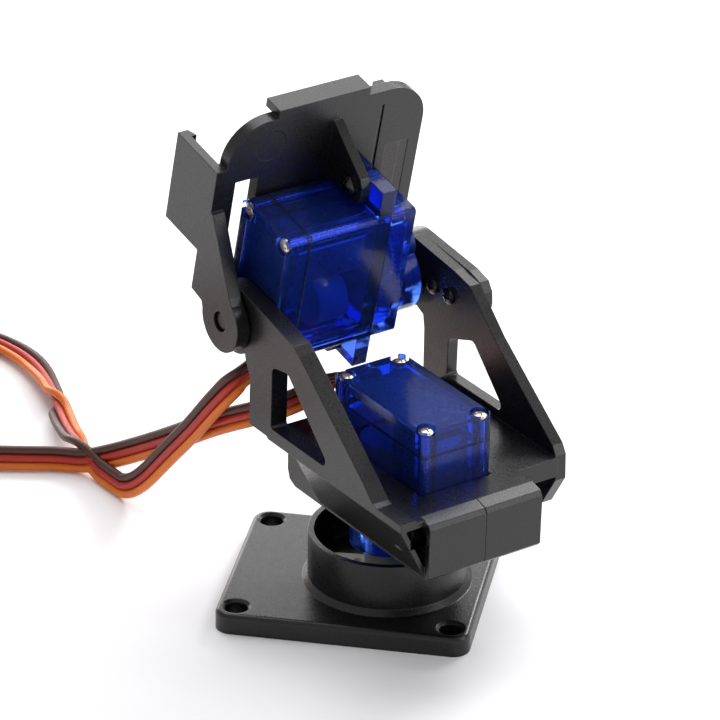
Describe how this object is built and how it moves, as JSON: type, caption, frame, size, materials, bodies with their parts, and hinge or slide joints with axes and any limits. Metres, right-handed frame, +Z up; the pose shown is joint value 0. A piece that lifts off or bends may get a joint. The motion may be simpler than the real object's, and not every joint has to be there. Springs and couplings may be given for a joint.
{
  "type": "pan tilt camera mount",
  "caption": "Small two-servo pan and tilt mount: a flanged base cup, a servo clamped in a two-armed yoke and a tilting plate with side flaps for a camera.",
  "frame": {"origin": "on the pan axis at the underside of the base plate", "axes": "+Z up along the pan axis; +X along the tilt axis towards the arm with the servo horn; +Y the way the camera plate faces"},
  "size_m": [0.0934, 0.1543, 0.0741],
  "materials": {
    "black_nylon": "moulded nylon with a fine low sheen, edges glinting slightly",
    "blue_case": "translucent dark blue polycarbonate, smooth and glossy",
    "nickel_screw": "nickel plated steel",
    "blackened_screw": "black oxide steel",
    "steel_axle": "ground steel",
    "motor_can": "drawn steel can",
    "white_nylon": "natural nylon",
    "circuit_board": "green solder mask on glass fibre board",
    "black_rubber": "soft moulded rubber",
    "lead_jacket": "three bonded PVC wires: brown, red and orange",
    "black_connector": "moulded nylon housing"
  },
  "bodies": {
    "base": {"base": "black_nylon", "pan_horn": "white_nylon", "pan_horn_screw_a": "nickel_screw", "pan_horn_screw_b": "nickel_screw", "pan_shaft_screw": "nickel_screw", "pan_servo_output_gear": "white_nylon", "tilt_lead_floor": "lead_jacket", "pan_lead_floor": "lead_jacket", "tilt_lead_coil": "lead_jacket", "pan_lead_coil": "lead_jacket", "tilt_connector": "black_connector", "pan_connector": "black_connector"},
    "yoke": {"yoke_left": "black_nylon", "yoke_right": "black_nylon", "yoke_screw_a": "blackened_screw", "yoke_screw_b": "blackened_screw", "tilt_horn": "black_nylon", "tilt_horn_screw_a": "blackened_screw", "tilt_horn_screw_b": "blackened_screw", "tilt_shaft_screw": "nickel_screw", "tilt_servo_output_gear": "white_nylon", "tilt_lead_drop": "lead_jacket", "pan_lead_drop": "lead_jacket", "pan_servo_cover": "blue_case", "pan_servo_case": "blue_case", "pan_servo_top_case": "blue_case", "pan_servo_case_screw_a": "nickel_screw", "pan_servo_case_screw_b": "nickel_screw", "pan_servo_case_screw_c": "nickel_screw", "pan_servo_case_screw_d": "nickel_screw", "pan_servo_motor": "motor_can", "pan_servo_sensor": "white_nylon", "pan_servo_board": "circuit_board", "pan_servo_gland": "black_rubber", "pan_servo_axle_a": "steel_axle", "pan_servo_axle_b": "steel_axle", "pan_servo_gear_one": "white_nylon", "pan_servo_gear_two": "white_nylon"},
    "head": {"head_plate": "black_nylon", "pivot_pin": "black_nylon", "tilt_ear_screw_a": "blackened_screw", "tilt_ear_screw_b": "blackened_screw", "tilt_lead_stub": "lead_jacket", "tilt_servo_cover": "blue_case", "tilt_servo_case": "blue_case", "tilt_servo_top_case": "blue_case", "tilt_servo_case_screw_a": "nickel_screw", "tilt_servo_case_screw_b": "nickel_screw", "tilt_servo_case_screw_c": "nickel_screw", "tilt_servo_case_screw_d": "nickel_screw", "tilt_servo_motor": "motor_can", "tilt_servo_sensor": "white_nylon", "tilt_servo_board": "circuit_board", "tilt_servo_gland": "black_rubber", "tilt_servo_axle_a": "steel_axle", "tilt_servo_axle_b": "steel_axle", "tilt_servo_gear_one": "white_nylon", "tilt_servo_gear_two": "white_nylon"}
  },
  "joints": [
    {"name": "pan", "type": "hinge", "parent": "base", "child": "yoke", "pos_m": [0, 0, 0.02], "axis": [0, 0, 1], "range_deg": [-134.5, 45.5]},
    {"name": "tilt", "type": "hinge", "parent": "yoke", "child": "head", "pos_m": [0.0015, 0.0204, 0.0413], "axis": [1, 0, 0], "range_deg": [-63.25, 61.75]}
  ]
}
